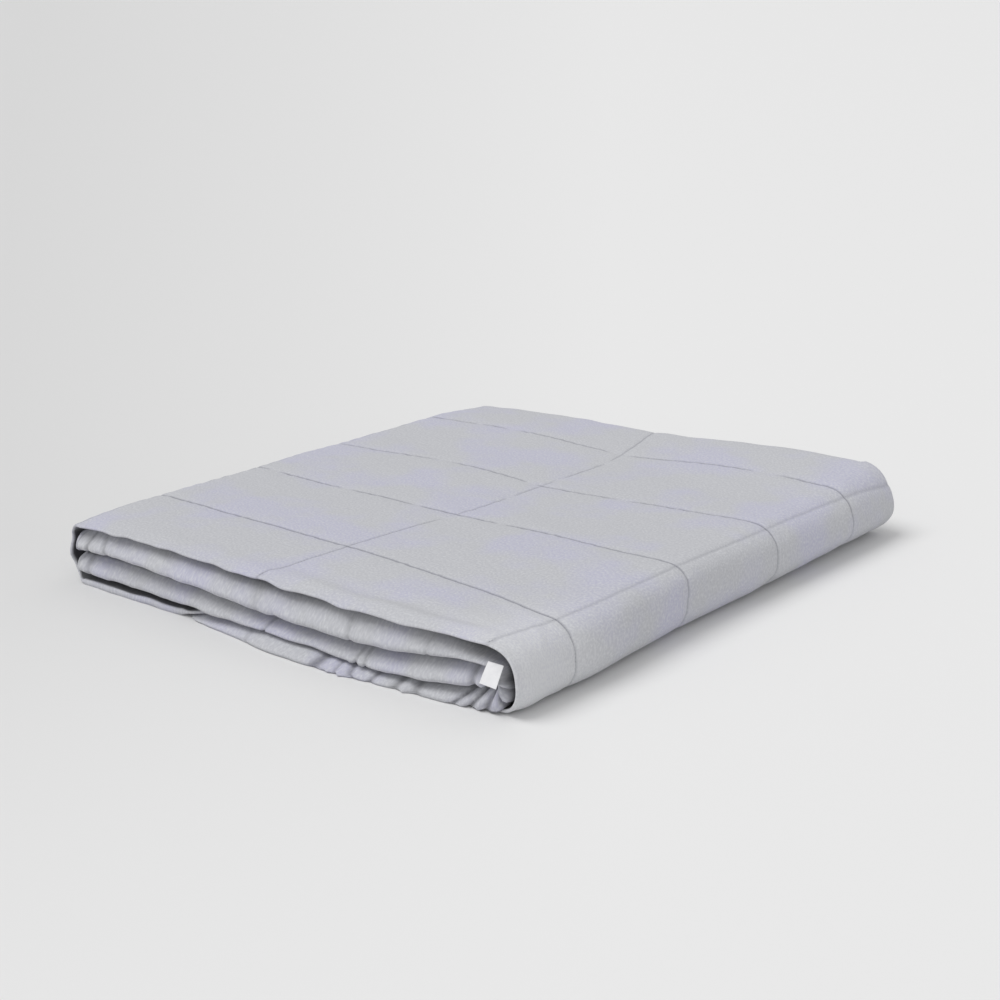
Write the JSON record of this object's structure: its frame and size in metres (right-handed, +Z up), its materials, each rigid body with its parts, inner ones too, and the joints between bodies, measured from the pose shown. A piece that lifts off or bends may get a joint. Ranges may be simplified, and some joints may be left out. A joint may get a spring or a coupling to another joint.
{
  "type": "folded weighted blanket",
  "caption": "Quilted pale grey cotton weighted blanket, folded flat in thirds both ways, with a small blank side label at its front.",
  "frame": {"origin": "centre of the folded blanket's underside, on the surface that it rests on", "axes": "+Z up, +Y from the front, where the folded edges show, to the back, +X along the front towards the smooth outer fold"},
  "size_m": [0.617, 0.6902, 0.0823],
  "materials": {
    "grey_cotton": "matte plain weave",
    "white_satin": "smooth satin"
  },
  "bodies": {
    "root": {"blanket": "grey_cotton", "side_label": "white_satin"}
  },
  "joints": []
}
